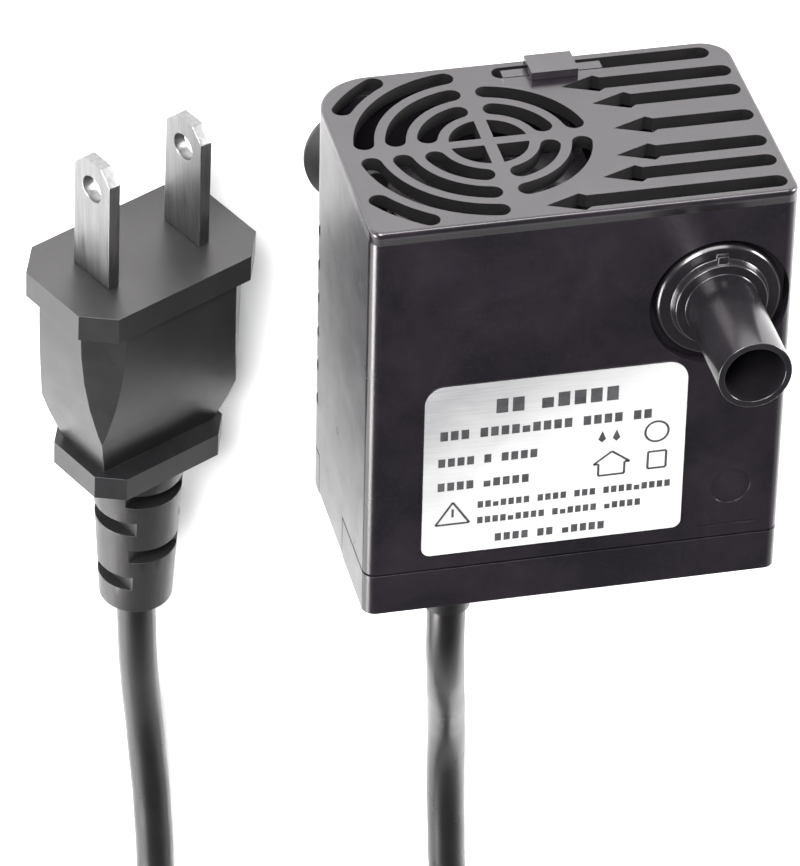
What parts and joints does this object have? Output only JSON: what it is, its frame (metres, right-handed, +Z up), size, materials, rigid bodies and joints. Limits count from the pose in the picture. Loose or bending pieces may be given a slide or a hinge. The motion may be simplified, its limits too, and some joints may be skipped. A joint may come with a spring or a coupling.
{
  "type": "submersible fountain pump",
  "caption": "Small submersible fountain pump with a slotted intake casing, upright outlet nozzle, suction cups, flow slide and a mains lead with a flat-blade plug.",
  "frame": {"origin": "centre of the pump's footprint, leaving out its lead, on the surface that its suction cups stand on", "axes": "+Z up along the outlet nozzle, -Y out of the intake grille, +Y the way the lead leaves, +X towards the round half of the grille"},
  "size_m": [0.0883, 0.2066, 0.0511],
  "materials": {
    "casing_abs": "satin moulded",
    "black_abs": "satin moulded",
    "core_steel": "stacked laminations",
    "nylon": "moulded nylon",
    "enamel_wire": "enamelled copper turns",
    "epoxy": "cast epoxy",
    "wire_brown": "pvc",
    "wire_blue": "pvc",
    "fuse_case": "drawn",
    "ceramic": "polished ceramic",
    "seal_rubber": "nitrile",
    "lead_pvc": "satin pvc sheath",
    "tie_wrap": "nylon strap",
    "plug_pvc": "moulded pvc",
    "blade_metal": "nickel plated",
    "ferrite": "sintered ferrite",
    "impeller_pom": "moulded",
    "label_foil": "satin foil",
    "cup_rubber": "soft rubber",
    "nozzle_abs": "semi gloss moulded",
    "slide_abs": "semi gloss moulded"
  },
  "bodies": {
    "motor_block": {"rear_cover": "black_abs", "motor_housing": "black_abs", "stator_core": "core_steel", "core_rivets": "core_steel", "coil_bobbin": "nylon", "coil_winding": "enamel_wire", "potting_plug": "epoxy", "lead_live": "wire_brown", "lead_neutral": "wire_blue", "thermal_fuse": "fuse_case", "rear_bush": "ceramic", "front_bush": "ceramic", "rotor_shaft": "ceramic", "chamber_body": "black_abs", "chamber_gasket": "seal_rubber", "chamber_cover": "black_abs", "duct_gasket": "seal_rubber", "cord_relief": "lead_pvc", "cord_pump_side": "lead_pvc", "cord_coil": "lead_pvc", "cord_tie": "tie_wrap", "cord_plug_side": "lead_pvc", "plug_body": "plug_pvc", "plug_blade_near": "blade_metal", "plug_blade_far": "blade_metal"},
    "rotor": {"rotor_magnet": "ferrite", "impeller": "impeller_pom"},
    "casing": {"intake_grille": "casing_abs", "strainer_casing": "casing_abs", "rating_label": "label_foil", "cup_front_left": "cup_rubber", "cup_front_right": "cup_rubber", "cup_rear": "cup_rubber"},
    "nozzle": {"outlet_nozzle": "nozzle_abs", "nozzle_ring": "seal_rubber"},
    "regulator": {"regulator_slide": "slide_abs"}
  },
  "joints": [
    {"name": "rotor_spin", "type": "hinge", "parent": "motor_block", "child": "rotor", "pos_m": [0.0072, 0, 0.0205], "axis": [0, 1, 0], "continuous": true},
    {"name": "casing_pull_off", "type": "slide", "parent": "motor_block", "child": "casing", "axis": [0, -1, 0], "range_m": [0, 0.045]},
    {"name": "nozzle_pull_out", "type": "slide", "parent": "casing", "child": "nozzle", "axis": [0, 0, 1], "range_m": [0, 0.01]},
    {"name": "flow_slide", "type": "slide", "parent": "casing", "child": "regulator", "axis": [-1, 0, 0], "range_m": [-0.0006, 0.0112]}
  ]
}
